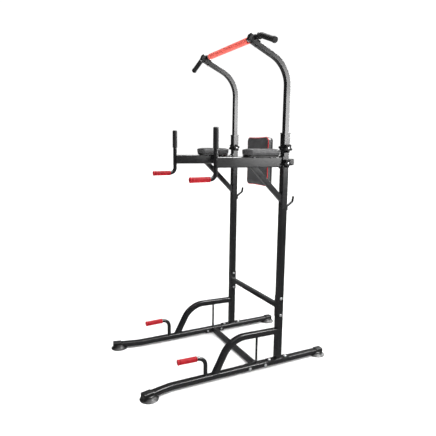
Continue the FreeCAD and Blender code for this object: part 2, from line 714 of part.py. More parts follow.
def build():
    os.makedirs("parts", exist_ok=True)
    save_pair("front_base_tube", front_base_tube())
    save_pair("rear_base_tube", rear_base_tube())
    spigot = base_spigot()
    save("base_spigots", Part.makeCompound([spigot, mirrored(spigot)]))
    save_pair("front_foot", front_foot())
    save_pair("rear_foot", rear_foot())
    save("floor_cross_tube", floor_cross_tube())
    save_pair("upright", upright())
    bush = collar()
    save("upright_collars", Part.makeCompound([bush, mirrored(bush)]))
    save("upright_cross_tube", upright_cross_tube())
    save_pair("curved_brace", curved_brace())
    save_pair("push_up_handle", push_up_handle())
    save_pair("push_up_grip", push_up_grip())
    save_pair("arm", arm())
    save_pair("arm_brace", arm_brace())
    save_pair("dip_handle", dip_handle())
    save_pair("dip_grip", dip_grip())
    save_pair("dip_front_grip", dip_front_grip())
    save_pair("elbow_board", elbow_board())
    save_pair("elbow_pad", elbow_pad())
    save("backrest_cross_tube", backrest_cross_tube())
    save_pair("hook", hook())
    save("base_bolts", base_bolts())
    save("foot_plate_bolts", foot_plate_bolts())
    save("upright_bolts", upright_bolts())
    save("pad_screws", pad_screws())
    save_pair("upper_tube", upper_tube())
    save_pair("bar_clamp", bar_clamp())
    save("pull_up_bar", pull_up_bar())
    save("pull_up_foam", pull_up_foam())
    save_pair("side_grip", side_grip())
    save("clamp_bolts", clamp_bolts())
    save("backrest_slide_tube", backrest_slide_tube())
    save("backrest_board", backrest_board())
    save("backrest_pad", backrest_pad())
    save_pair("height_knob_outer", height_knob(1, large_knob))
    save_pair("height_knob_inner", height_knob(-1, small_knob))
    save_pair("arm_knob", arm_knob())
    save("backrest_knob", backrest_knob())


build()
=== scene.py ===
import json
import math

import bmesh
import bpy
from mathutils import Matrix, Vector, noise
from mathutils.bvhtree import BVHTree


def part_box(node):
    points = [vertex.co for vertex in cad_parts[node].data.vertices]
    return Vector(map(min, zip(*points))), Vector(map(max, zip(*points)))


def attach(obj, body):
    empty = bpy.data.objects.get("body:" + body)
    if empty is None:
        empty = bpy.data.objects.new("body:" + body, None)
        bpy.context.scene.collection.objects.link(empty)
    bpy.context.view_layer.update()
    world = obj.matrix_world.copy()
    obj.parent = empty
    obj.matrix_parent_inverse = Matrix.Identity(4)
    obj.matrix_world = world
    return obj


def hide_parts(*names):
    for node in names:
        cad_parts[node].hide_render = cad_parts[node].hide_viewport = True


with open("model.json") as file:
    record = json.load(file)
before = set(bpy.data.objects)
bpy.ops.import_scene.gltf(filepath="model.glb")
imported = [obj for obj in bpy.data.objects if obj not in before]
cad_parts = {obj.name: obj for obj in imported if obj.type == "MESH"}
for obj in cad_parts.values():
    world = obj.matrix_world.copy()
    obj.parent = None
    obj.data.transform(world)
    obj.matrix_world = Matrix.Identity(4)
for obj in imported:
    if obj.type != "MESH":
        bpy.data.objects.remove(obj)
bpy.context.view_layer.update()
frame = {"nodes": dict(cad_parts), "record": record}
nodes = frame["nodes"]
PAIR = (("_left", 1), ("_right", -1))
CORNERS = ((1, 1), (-1, 1), (-1, -1), (1, -1))

# Sizes in metres that a node's box doesn't give.
TUBE, ROD = 0.0125, 0.0070                              # radii of the handles and of the thin upright rods
BORE = TUBE + 0.0001                                    # bore radius of the grips and foams
POST, BRACE, BOX, ARM = 0.020, 0.0175, 0.015, 0.030     # half sizes of the frame's rectangular tubes
BRACE_CUT, ARM_BRACE_CUTS = 0.0198, (0.0215, 0.0209)    # half lengths of slanting tube ends
PLATE, ROUND, SMALL_ROUND = 0.004, 0.004, 0.003         # end plates' thickness, tubes' outer corner radii
BRACE_END_Z, BACKREST_Z = 0.232, 1.300                  # heights of the braces' upper ends and the slide tube
ROD_AHEAD, FLOOR_CROSS_AHEAD = 0.159, 0.160             # distances in front of the posts' axes
BACK_CROSS_BEHIND = 0.0855                              # distance behind them
STITCH = (0.00022, 0.00042, 0.00048, 0.00042, 0.00022)  # radii of the thread along one stitch

# Light and camera.
WORLD_BRIGHT = (-0.78, 0.58, -0.22)                     # where most of the backdrop's light comes from
WORLD_FROM, WORLD_TO = (0.72, 1.0), (0.06, 0.95)        # cosine of the angle from there, and strength
WORLD_LOW = 0.40                                        # strength added well below the horizon
SEEN_WHITE, FLOOR_GLOW = 1.05, 0.12                     # backdrop as the camera sees it, floor's glow
GLINT_TARGET = (0.2, 0.1, 0.9)
GLINTS = (("glint_high", (1.1, 1.85, 4.0), (2.0, 2.0), 560),
          ("glint_rear", (-0.9, 3.6, 2.3), (1.4, 2.4), 230))    # name, place, size, watts
CAMERA_PLACE, LENS_MM, SENSOR_MM = (2.47419, -1.24093, 1.38139), 35.53, 36.0
AZIMUTH, PITCH, ROLL = 63.51, 9.27, 0.71                # degrees


# ---------------------------------------------------------------- node helpers

class Graph:
    """Short-hand for building one shader."""

    def __init__(self, name, **inputs):
        self.material = bpy.data.materials.new(name)
        self.material.use_nodes = True
        self.tree = self.material.node_tree
        self.tree.nodes.clear()
        out = self.add("OutputMaterial")
        self.shader = self.add("BsdfPrincipled")
        self.join(self.shader.outputs["BSDF"], out.inputs["Surface"])
        for key, value in inputs.items():
            self.shader.inputs[key.replace("_", " ")].default_value = value
        self.coords = self.add("TexCoord").outputs["Object"]

    def add(self, kind):
        return self.tree.nodes.new("ShaderNode" + kind)

    def join(self, a, b):
        self.tree.links.new(a, b)

    def noise(self, scale, detail=3.0, rough=0.5, coords=None):
        node = self.add("TexNoise")
        node.inputs["Scale"].default_value = scale
        node.inputs["Detail"].default_value = detail
        node.inputs["Roughness"].default_value = rough
        self.join(coords or self.coords, node.inputs["Vector"])
        return node.outputs["Fac"]

    def cells(self, scale, feature="F1", coords=None):
        node = self.add("TexVoronoi")
        node.feature = feature
        node.inputs["Scale"].default_value = scale
        self.join(coords or self.coords, node.inputs["Vector"])
        return node.outputs["Distance"]

    def stretch(self, x, y, z):
        node = self.add("Mapping")
        node.inputs["Scale"].default_value = (x, y, z)
        self.join(self.coords, node.inputs["Vector"])
        return node.outputs["Vector"]

    def math(self, op, a, b=None, c=None, clamp=False):
        node = self.add("Math")
        node.operation = op
        node.use_clamp = clamp
        for i, v in enumerate((a, b, c)):
            if v is None:
                continue
            if isinstance(v, (int, float)):
                node.inputs[i].default_value = v
            else:
                self.join(v, node.inputs[i])
        return node.outputs["Value"]

    def fit(self, value, lo, hi, to_lo=0.0, to_hi=1.0):
        node = self.add("MapRange")
        node.inputs["From Min"].default_value = lo
        node.inputs["From Max"].default_value = hi
        node.inputs["To Min"].default_value = to_lo
        node.inputs["To Max"].default_value = to_hi
        self.join(value, node.inputs["Value"])
        return node.outputs["Result"]

    def blend(self, factor, a, b):
        node = self.add("Mix")
        node.data_type = "RGBA"
        self.join(factor, node.inputs[0])
        for socket, v in ((node.inputs[6], a), (node.inputs[7], b)):
            if isinstance(v, tuple):
                socket.default_value = v + (1.0,)
            else:
                self.join(v, socket)
        return node.outputs[2]

    def bump(self, height, strength, distance, normal=None):
        node = self.add("Bump")
        node.inputs["Strength"].default_value = strength
        node.inputs["Distance"].default_value = distance
        self.join(height, node.inputs["Height"])
        if normal is not None:
            self.join(normal, node.inputs["Normal"])
        return node.outputs["Normal"]

    def finish(self, colour=None, rough=None, normal=None):
        for value, key in ((colour, "Base Color"), (rough, "Roughness"), (normal, "Normal")):
            if value is not None:
                self.join(value, self.shader.inputs[key])
        return self.material

    def facing_up(self):
        node = self.add("NewGeometry")
        split = self.add("SeparateXYZ")
        self.join(node.outputs["Normal"], split.inputs[0])
        return split.outputs["Z"]

    def edges(self):
        return self.add("NewGeometry").outputs["Pointiness"]


# ---------------------------------------------------------------- materials

def powder_coat():
    """Semi-gloss black powder coat: orange peel, uneven sheen, dust on top faces, hairline scratches."""
    g = Graph("powder_coat", Specular_IOR_Level=0.5)
    peel = g.noise(330, 2.0)
    grain = g.noise(1700, 2.0)
    broad = g.noise(6, 3.0, 0.6)
    scratch = g.noise(55, 4.0, 0.6, g.stretch(1.0, 9.0, 0.7))
    lines = g.fit(scratch, 0.665, 0.70)
    tone = g.blend(g.fit(broad, 0.3, 0.7), (0.0075, 0.0075, 0.0082), (0.0125, 0.0125, 0.0132))
    dust = g.math("MULTIPLY", g.fit(g.facing_up(), 0.6, 1.0), g.fit(g.noise(30, 4.0), 0.35, 0.75, 0.0, 0.30))
    tone = g.blend(dust, tone, (0.045, 0.044, 0.043))
    tone = g.blend(g.math("MULTIPLY", lines, 0.30), tone, (0.07, 0.07, 0.072))
    rough = g.math("ADD", g.fit(broad, 0.3, 0.7, 0.19, 0.26), g.math("MULTIPLY", grain, 0.04))
    normal = g.bump(peel, 0.07, 0.00007)
    normal = g.bump(grain, 0.05, 0.00002, normal)
    return g.finish(tone, rough, normal)


def zinc():
    g = Graph("zinc_plate", Metallic=1.0)
    tone = g.blend(g.fit(g.noise(180, 4.0), 0.35, 0.65), (0.66, 0.67, 0.69), (0.86, 0.86, 0.86))
    tone = g.blend(g.fit(g.edges(), 0.55, 0.65), tone, (0.95, 0.95, 0.95))
    rough = g.fit(g.noise(260, 3.0), 0.3, 0.7, 0.30, 0.48)
    return g.finish(tone, rough, g.bump(g.noise(900, 2.0), 0.25, 0.0001))


def moulded_plastic(name, shine, rough_low, rough_high):
    g = Graph(name, Specular_IOR_Level=shine)
    tone = g.blend(g.noise(25, 3.0), (0.0055, 0.0055, 0.0060), (0.010, 0.010, 0.0105))
    tone = g.blend(g.fit(g.edges(), 0.54, 0.66), tone, (0.03, 0.03, 0.031))
    rough = g.fit(g.noise(120, 3.0), 0.3, 0.7, rough_low, rough_high)
    return g.finish(tone, rough, g.bump(g.cells(1500), 0.22, 0.00008))


def black_rubber():
    g = Graph("moulded_rubber", Specular_IOR_Level=0.28)
    tone = g.blend(g.noise(18, 4.0), (0.0070, 0.0070, 0.0070), (0.014, 0.014, 0.014))
    patches = g.fit(g.noise(45, 4.0), 0.35, 0.8, 0.02, 0.25)
    bloom = g.math("MULTIPLY", g.fit(g.facing_up(), 0.2, 0.95), patches)
    tone = g.blend(bloom, tone, (0.05, 0.049, 0.048))
    rough = g.fit(g.noise(60, 3.0), 0.3, 0.7, 0.32, 0.46)
    return g.finish(tone, rough, g.bump(g.noise(500, 3.0), 0.22, 0.00015))


def foam(name, low, high, sheen=0.12):
    """Closed-cell foam: fine pores, a soft sheen and slight mottling."""
    g = Graph(name, Sheen_Weight=sheen, Sheen_Roughness=0.5, Specular_IOR_Level=0.35)
    pores = g.cells(1100)
    tone = g.blend(g.fit(g.noise(35, 4.0), 0.3, 0.7), low, high)
    deep = tuple(c * 0.62 for c in low)
    tone = g.blend(g.fit(pores, 0.0, 0.36, 0.14, 0.0), tone, deep)
    normal = g.bump(pores, 0.05, 0.00005)
    normal = g.bump(g.noise(160, 3.0), 0.05, 0.0001, normal)
    return g.finish(tone, g.fit(pores, 0.0, 0.6, 0.60, 0.46), normal)


def red_rubber(name, low, high, rough_low, rough_high):
    g = Graph(name, Specular_IOR_Level=0.08)
    tone = g.blend(g.fit(g.noise(40, 4.0), 0.3, 0.7), low, high)
    tone = g.blend(g.fit(g.edges(), 0.52, 0.62), tone, tuple(min(1.0, c * 1.5 + 0.02) for c in high))
    # Painted shade: concave spots, such as the hollows of the knurl, are painted darker.
    hollow_shade = g.math("MULTIPLY", g.fit(g.edges(), 0.49, 0.44), 0.5)
    tone = g.blend(hollow_shade, tone, tuple(c * 0.35 for c in low))
    rough = g.fit(g.noise(200, 3.0), 0.3, 0.7, rough_low, rough_high)
    return g.finish(tone, rough, g.bump(g.noise(1300, 2.0), 0.25, 0.00008))


def leather(name, low, high):
    """Imitation leather: pebbled grain of two sizes, creases, uneven shine."""
    g = Graph(name, Specular_IOR_Level=0.5)
    warp = g.add("VectorMath")
    warp.operation = "ADD"
    g.join(g.coords, warp.inputs[0])
    shift = g.add("TexNoise")
    shift.inputs["Scale"].default_value = 90
    g.join(g.coords, shift.inputs["Vector"])
    small = g.add("VectorMath")
    small.operation = "SCALE"
    small.inputs["Scale"].default_value = 0.004
    g.join(shift.outputs["Color"], small.inputs[0])
    g.join(small.outputs["Vector"], warp.inputs[1])
    pebble = g.cells(560, "DISTANCE_TO_EDGE", warp.outputs["Vector"])
    fine = g.cells(1600, "F1", warp.outputs["Vector"])
    creases = g.fit(g.noise(34, 5.0, 0.62), 0.47, 0.53)
    tone = g.blend(g.fit(g.noise(14, 4.0), 0.3, 0.7), low, high)
    tone = g.blend(g.fit(pebble, 0.0, 0.16, 0.45, 0.0), tone, tuple(c * 0.45 for c in low))
    rough = g.math("ADD", g.fit(pebble, 0.0, 0.25, 0.48, 0.32), g.math("MULTIPLY", g.noise(22, 3.0), 0.08))
    normal = g.bump(pebble, 0.42, 0.00028)
    normal = g.bump(fine, 0.20, 0.00010, normal)
    normal = g.bump(creases, 0.10, 0.0006, normal)
    return g.finish(tone, rough, normal)


def board():
    g = Graph("backing_board")
    fibres = g.noise(60, 5.0, 0.6, g.stretch(1.0, 6.0, 1.0))
    tone = g.blend(g.fit(fibres, 0.3, 0.7), (0.010, 0.0095, 0.009), (0.017, 0.016, 0.015))
    return g.finish(tone, g.fit(fibres, 0.3, 0.7, 0.55, 0.75), g.bump(fibres, 0.4, 0.0003))


def plain_steel():
    g = Graph("plain_steel", Metallic=1.0)
    tone = g.blend(g.noise(30, 5.0), (0.30, 0.29, 0.28), (0.46, 0.45, 0.45))
    rough = g.fit(g.noise(220, 3.0), 0.3, 0.7, 0.38, 0.55)
    return g.finish(tone, rough, g.bump(g.noise(700, 2.0), 0.2, 0.0001))


def thread():
    g = Graph("black_thread", Sheen_Weight=0.2)
    twist = g.noise(900, 2.0)
    tone = g.blend(twist, (0.010, 0.010, 0.011), (0.030, 0.030, 0.032))
    return g.finish(tone, g.fit(twist, 0.3, 0.7, 0.5, 0.7), g.bump(twist, 0.4, 0.0002))


FINISH = {
    "frame_black": powder_coat(),
    "zinc_steel": zinc(),
    "plastic_black": moulded_plastic("moulded_nylon", 0.18, 0.38, 0.52),
    "rubber_black": black_rubber(),
    "foam_red": foam("red_foam", (0.98, 0.105, 0.075), (1.0, 0.135, 0.095), 0.2),
    "foam_black": foam("black_foam", (0.0085, 0.0085, 0.009), (0.015, 0.015, 0.0155), 0.05),
    "grip_red": red_rubber("red_grip_rubber", (0.40, 0.012, 0.020), (0.52, 0.020, 0.030), 0.36, 0.50),
    "pad_leather": leather("pad_leather", (0.072, 0.072, 0.074), (0.098, 0.098, 0.101)),
    "board": board(),
    "bare_steel": plain_steel(),
}
RED_PIPING = red_rubber("red_piping", (0.66, 0.012, 0.018), (0.78, 0.022, 0.028), 0.32, 0.46)
THREAD = thread()
COLLAR = moulded_plastic("collar_nylon", 0.6, 0.22, 0.32)


def paint_cad_nodes():
    """Gives each CAD node the finish of its slot. The collars on the posts are glossier plastic."""
    for part in frame["record"]["subparts"]:
        slots = nodes[part["node"]].data.materials
        slots.clear()
        slots.append(COLLAR if "collar" in part["node"] else FINISH[part["material_slot"]])


paint_cad_nodes()


# ---------------------------------------------------------------- mesh helpers

def across(axis):
    """Two unit vectors that complete a right-handed set with axis."""
    axis = Vector(axis).normalized()
    helper = Vector((0, 0, 1)) if abs(axis.z) < 0.9 else Vector((1, 0, 0))
    side = axis.cross(helper).normalized()
    return side, axis.cross(side)


def lumpy(point, scale, seed=0.0):
    """Smooth noise about -1 to 1 at a place."""
    return noise.noise(Vector(point) * scale + Vector((seed, seed * 1.7, -seed)))


class Shape:
    """Vertices and faces of one piece while it is being made."""

    def __init__(self):
        self.verts, self.faces = [], []

    def skin(self, rings, closed=False, caps=True):
        start, count = len(self.verts), len(rings[0])
        for ring in rings:
            self.verts.extend(ring)
        for i in range(len(rings) - (0 if closed else 1)):
            low, high = start + i * count, start + (i + 1) % len(rings) * count
            for k in range(count):
                j = (k + 1) % count
                self.faces.append((low + k, low + j, high + j, high + k))
        if caps and not closed:
            self.faces.append(tuple(range(start + count - 1, start - 1, -1)))
            last = start + (len(rings) - 1) * count
            self.faces.append(tuple(range(last, last + count)))

    def tube(self, path, radius, closed=False, sides=10):
        """Round section along a path. radius is a number, or a function of the point's index."""
        size = radius if callable(radius) else (lambda i: radius)
        last = len(path) - 1
        side = None
        rings = []
        for i, point in enumerate(path):
            before = path[i - 1] if closed or i else point
            after = path[(i + 1) % len(path)] if closed or i < last else point
            run = (after - before).normalized()
            side = across(run)[0] if side is None else (side - run * side.dot(run)).normalized()
            other = run.cross(side)
            r = size(i)
            rings.append([point + (side * math.cos(t) + other * math.sin(t)) * r
                          for t in (2 * math.pi * k / sides for k in range(sides))])
        self.skin(rings, closed)

    def lathe(self, origin, axis, profile, sides=48, relief=None):
        """Turned form. profile is (distance along axis, radius). relief(distance, angle) adds to radius."""
        origin, axis = Vector(origin), Vector(axis).normalized()
        side, other = across(axis)
        rings = []
        for t, r in profile:
            ring = []
            for k in range(sides):
                a = 2 * math.pi * k / sides
                extra = relief(t, a) if relief and r > 0.004 else 0.0
                ring.append(origin + axis * t + (side * math.cos(a) + other * math.sin(a)) * (r + extra))
            rings.append(ring)
        self.skin(rings)

    def join(self, other):
        offset = len(self.verts)
        self.verts += other.verts
        self.faces += [tuple(i + offset for i in f) for f in other.faces]

    def mirrored(self):
        twin = Shape()
        twin.verts = [Vector((-v[0], v[1], v[2])) for v in self.verts]
        twin.faces = [tuple(reversed(f)) for f in self.faces]
        return twin

    def sided(self, sign):
        return self if sign > 0 else self.mirrored()

    def object(self, name):
        mesh = bpy.data.meshes.new(name)
        mesh.from_pydata([tuple(v) for v in self.verts], [], self.faces)
        obj = bpy.data.objects.new(name, mesh)
        bpy.context.collection.objects.link(obj)
        return obj

    def piece(self, name, slot, body, replaces=(), material=None, crease=38, fill=None):
        """Makes the finished piece: smooth shading, material (its slot's finish unless one is given) and
        body.
        """
        obj = self.object(name)
        face_outwards(obj.data)
        dress(obj, slot, body, replaces, material, crease)
        return obj


def face_outwards(mesh, triangulate=False):
    """Turns every face outwards. triangulate also splits the faces that have more than four corners."""
    edit = bmesh.new()
    edit.from_mesh(mesh)
    bmesh.ops.recalc_face_normals(edit, faces=edit.faces)
    if triangulate:
        bmesh.ops.triangulate(edit, faces=[f for f in edit.faces if len(f.verts) > 4])
    edit.to_mesh(mesh)
    edit.free()


def dress(obj, slot, body, replaces=(), material=None, crease=38):
    obj.data.shade_smooth()
    obj.data.set_sharp_from_angle(angle=math.radians(crease))
    obj.data.materials.clear()
    obj.data.materials.append(material or FINISH[slot])
    if replaces:
        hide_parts(*replaces)
    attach(obj, body)


def evenly(points, step):
    """Points every step along a closed loop."""
    loop = list(points) + [points[0]]
    lengths = [(b - a).length for a, b in zip(loop, loop[1:])]
    total = sum(lengths)
    count = max(12, round(total / step))
    result, i, walked = [], 0, 0.0
    for k in range(count):
        goal = total * k / count
        while walked + lengths[i] < goal:
            walked += lengths[i]
            i += 1
        result.append(loop[i].lerp(loop[i + 1], (goal - walked) / max(lengths[i], 1e-9)))
    return result


def rounded_loop(centre, u, v, half_u, half_v, corner):
    """Rounded rectangle about centre in the plane of unit vectors u and v."""
    centre, u, v = Vector(centre), Vector(u), Vector(v)
    points = []
    for quarter, (su, sv) in enumerate(CORNERS):
        for k in range(7):
            a = math.radians(90 * quarter + 15 * k)
            points.append(centre + u * (su * (half_u - corner) + corner * math.cos(a))
                          + v * (sv * (half_v - corner) + corner * math.sin(a)))
    return points


# ---------------------------------------------------------------- red hand grips

def red_grip(node, sign):
    """Moulded rubber sleeve: flange at the inner end, two rings, diamond knurl between, domed tip."""
    inner, outer, radius = grip_line(node, sign)
    axis, length = (outer - inner).normalized(), (outer - inner).length
    body, lip, wall = radius - 0.0013, 0.0006, 0.0040
    knurl_from, knurl_to, pitch, step = 0.018, length - 0.024, 0.0042, 0.0011
    relief, fade, starts = 0.00085, 0.003, 9

    def ring(start):
        """Low band raised round the sleeve."""
        top = body + lip
        return [(start, body), (start + 0.0006, top), (start + 0.0030, top), (start + 0.0036, body)]

    def knurl(t, a):
        if not knurl_from <= t <= knurl_to:
            return 0.0
        edge = min(1.0, (t - knurl_from) / fade, (knurl_to - t) / fade)
        phase = t / pitch * math.pi
        return relief * edge * (math.cos(starts * a + phase) * math.cos(starts * a - phase) - 0.25)

    inside = [(length - wall, 0.0004), (length - wall, BORE), (0.0, BORE)]
    flange = [(0.0, radius - lip), (0.0008, radius), (0.0026, radius), (0.0034, radius - lip), (0.0040, body)]
    steps = round((knurl_to - knurl_from) / step)
    grip = [(knurl_from + (knurl_to - knurl_from) * k / steps, body) for k in range(steps + 1)]
    bulge = [(length - 0.0095, body), (length - 0.0088, radius - 0.0004), (length - 0.0078, radius),
             (length - 0.0030, radius)]
    dome = [(length - 0.0012, radius - 0.0008), (length - 0.0002, radius - 0.0026), (length, radius - 0.0044),
            (length - 0.0008, radius - 0.0062), (length - 0.0010, 0.0050), (length - 0.0002, 0.0030),
            (length, 0.0004)]
    shape = Shape()
    shape.lathe(inner, axis, inside + flange + ring(0.0120) + grip + ring(length - 0.0216) + bulge + dome,
                96, knurl)
    shape.piece(node.replace("grip", "rubber"), "grip_red", "base_frame", (node,), crease=50)


def grip_line(node, sign):
    """Ends of a grip's axis and its radius. The axis turns inwards or falls a little towards the tip."""
    low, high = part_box(node)
    size, middle = high - low, (low + high) / 2
    radius = min(size.x, size.z) / 2
    turn, rise = (size.x / 2 - radius) * sign, size.z / 2 - radius
    trim = radius * (abs(turn) + rise) * 2 / size.y
    return (Vector((middle.x + turn, high.y - trim, middle.z + rise)),
            Vector((middle.x - turn, low.y + trim, middle.z - rise)), radius)


# ---------------------------------------------------------------- foam sleeves

def soft_relief(seed, amount):
    """Small uneven swelling of a foam sleeve."""
    return lambda t, a: amount * lumpy((math.cos(a) * 1.3, math.sin(a) * 1.3, t * 60), 1.0, seed)


def dip_foam(node, sign):
    """Black foam sleeve over the top of a dip handle, closed and rounded at the tip."""
    low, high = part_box(node)
    radius = (high.x - low.x) / 2 + 0.0002
    axis_x, axis_y = (low.x + high.x) / 2, (low.y + high.y) / 2
    length = high.z - low.z
    wall, lip, dome, rings = 0.0050, 0.0018, 0.0070, 36
    profile = [(length - wall, 0.0004), (length - wall, BORE), (0.0, BORE), (0.0, radius - 0.0016),
               (0.0006, radius - 0.0006), (lip, radius)]
    profile += [(lip + (length - lip - dome) * k / rings, radius) for k in range(1, rings + 1)]
    profile += [(length - dome + dome * math.sin(a), radius - dome * (1 - math.cos(a)))
                for a in (math.radians(15 * k) for k in range(1, 7))]
    profile += [(length + 0.0002, 0.0050), (length + 0.0003, 0.0004)]
    shape = Shape()
    shape.lathe((axis_x, axis_y, low.z), (0, 0, 1), profile, 56, soft_relief(3.1 * sign, 0.00008))
    shape.piece(node.replace("grip", "foam"), "foam_black", "base_frame", (node,), crease=60, fill=1.0)


def bar_foam():
    """Red foam sleeve on the pull-up bar, between its end clamps."""
    low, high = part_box("pull_up_foam")
    radius = (high.z - low.z) / 2
    length = high.x - low.x
    lip, rings = 0.0022, 120
    profile = [(0.0, BORE), (0.0, radius - 0.0018), (0.0006, radius - 0.0006), (lip, radius)]
    profile += [(lip + (length - 2 * lip) * k / rings, radius) for k in range(1, rings)]
    profile += [(length - lip, radius), (length - 0.0006, radius - 0.0006), (length, radius - 0.0018),
                (length, BORE)]
    shape = Shape()
    shape.lathe((low.x, (low.y + high.y) / 2, (low.z + high.z) / 2), (1, 0, 0), profile, 56,
                soft_relief(0.7, 0.00004))
    shape.piece("bar_foam", "foam_red", "upper_frame", ("pull_up_foam",), crease=60, fill=1.0)


def side_grip_sleeve(node, sign):
    """Black grip that follows the bar's bend: flange, ribbed body, ring and recessed plug at the end."""
    low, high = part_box("pull_up_bar")
    height, depth = high.z - TUBE, (low.y + high.y) / 2
    reach = max(abs(low.x), abs(high.x))
    grip_low, grip_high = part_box("side_grip_left")
    start = Vector((grip_low.x, depth, height))
    kink = Vector((grip_low.x + 0.018, depth, height))
    slope = math.atan2(high.z - TUBE - (low.z + TUBE * 0.935), reach - 0.0044 - kink.x)
    run = Vector((math.cos(slope), 0, -math.sin(slope)))
    tip = Vector((grip_high.x - 0.016 * math.sin(slope), depth, 0))
    tip.z = kink.z - (tip.x - kink.x) * math.tan(slope)
    soft = 0.013
    path = [start.lerp(kink - Vector((soft, 0, 0)), k / 2) for k in range(3)]
    path += [(kink - Vector((soft, 0, 0))).lerp(kink, t).lerp(kink.lerp(kink + run * soft, t), t)
             for t in (k / 8 for k in range(1, 8))]
    bent = kink + run * soft
    count = 96
    path += [bent.lerp(tip, k / count) for k in range(count + 1)]
    lengths = [0.0]
    for a, b in zip(path, path[1:]):
        lengths.append(lengths[-1] + (b - a).length)
    total = lengths[-1]
    flange, ring, chamfer, groove, body = 0.0192, 0.0176, 0.0162, 0.0150, 0.0152
    rib, rib_pitch = 0.00055, 0.0046

    def radius(i):
        from_start, from_end = lengths[i], total - lengths[i]
        if from_start < 0.0045:
            return flange
        if from_end < 0.0105:
            return ring if from_end > 0.0018 else chamfer
        if from_end < 0.0125 or from_start < 0.0065:
            return groove
        return body + rib * math.cos(2 * math.pi * from_start / rib_pitch)

    shape = Shape()
    shape.tube(path, radius, sides=48)
    end = Shape()
    end.lathe(tip, run, [(-0.001, 0.0128), (0.0006, 0.0128), (0.0008, 0.0120), (-0.0004, 0.0110),
                         (-0.0004, 0.0040), (0.0002, 0.0004)], 40)
    shape.join(end)
    shape.sided(sign).piece(node.replace("grip", "sleeve"), "foam_black", "upper_frame", (node,),
                            crease=30, fill=1.0)


# ---------------------------------------------------------------- cushions

def outline(half_u, half_v, corner, pinch=0.0):
    """Rounded rectangle as (u, v) pairs; the sides pull in by pinch between the corners."""
    corner = max(corner, 0.0015)
    points, on_side, on_corner = [], 18, 7
    for quarter, (su, sv) in enumerate(CORNERS):
        arc = [(su * (half_u - corner) + corner * math.cos(a), sv * (half_v - corner) + corner * math.sin(a))
               for a in (math.radians(90 * quarter + 90 * k / (on_corner - 1)) for k in range(on_corner))]
        points += arc
        nu, nv = CORNERS[(quarter + 1) % 4]
        a = math.radians(90 * (quarter + 1))
        goal = (nu * (half_u - corner) + corner * math.cos(a), nv * (half_v - corner) + corner * math.sin(a))
        inward = (-math.cos(a), -math.sin(a))
        for k in range(1, on_side):
            t = k / on_side
            pull = pinch * math.sin(math.pi * t) ** 0.8
            points.append((arc[-1][0] + (goal[0] - arc[-1][0]) * t + inward[0] * pull,
                           arc[-1][1] + (goal[1] - arc[-1][1]) * t + inward[1] * pull))
    return points


def inflate(obj, held, cap):
    """Blows the cover up with cloth. Held points stay, and no point moves further than cap."""
    frames = 20
    group = obj.vertex_groups.new(name="held")
    group.add(held, 1.0, "REPLACE")
    cloth = obj.modifiers.new("cloth", "CLOTH")
    cloth.settings.quality = 6
    cloth.settings.mass = 0.25
    cloth.settings.tension_stiffness = cloth.settings.compression_stiffness = 12
    cloth.settings.bending_stiffness = 0.3
    cloth.settings.use_pressure = True
    cloth.settings.uniform_pressure_force = 4
    cloth.settings.vertex_group_mass = "held"
    cloth.settings.shrink_min = -0.012
    cloth.settings.effector_weights.gravity = 0
    cloth.point_cache.frame_start, cloth.point_cache.frame_end = 1, frames
    scene = bpy.context.scene
    for f in range(1, frames + 1):
        scene.frame_set(f)
    result = obj.evaluated_get(bpy.context.evaluated_depsgraph_get()).to_mesh()
    moved = [v.co.copy() for v in result.vertices]
    obj.modifiers.remove(cloth)
    scene.frame_set(1)
    for v, goal in zip(obj.data.vertices, moved):
        shift = goal - v.co
        if shift.length > cap:
            shift *= cap / shift.length
        v.co = v.co + shift
    obj.vertex_groups.remove(group)


